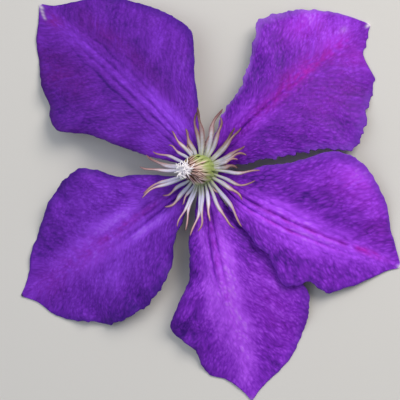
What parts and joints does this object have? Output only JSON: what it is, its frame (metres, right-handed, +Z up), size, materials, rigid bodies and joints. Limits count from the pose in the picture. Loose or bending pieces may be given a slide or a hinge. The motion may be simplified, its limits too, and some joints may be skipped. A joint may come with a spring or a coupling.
{
  "type": "clematis flower",
  "caption": "Large violet clematis blossom laid face up: waved, ribbed tepals round spread pale stamens, a green and tan stamen barrel and a curled white stigma tuft, on a cut stem.",
  "frame": {"origin": "on the table under the middle of the flower's bounding box", "axes": "+Z up, out of the flower's face; +X and +Y are the right and the top of the picture, seen from above"},
  "size_m": [0.1252, 0.1294, 0.0292],
  "materials": {
    "tepal_violet": "velvety, matt",
    "stamen_lilac": "satin, pale",
    "stamen_green": "satin",
    "stigma_white": "silky, matt",
    "stem_green": "matt"
  },
  "bodies": {
    "root": {"stem_and_receptacle": "stem_green", "tepal_upper_left": "tepal_violet", "tepal_upper_right": "tepal_violet", "tepal_right": "tepal_violet", "tepal_lower": "tepal_violet", "tepal_left": "tepal_violet", "open_stamens": "stamen_lilac", "inner_stamens": "stamen_green", "pistils": "stigma_white"}
  },
  "joints": []
}
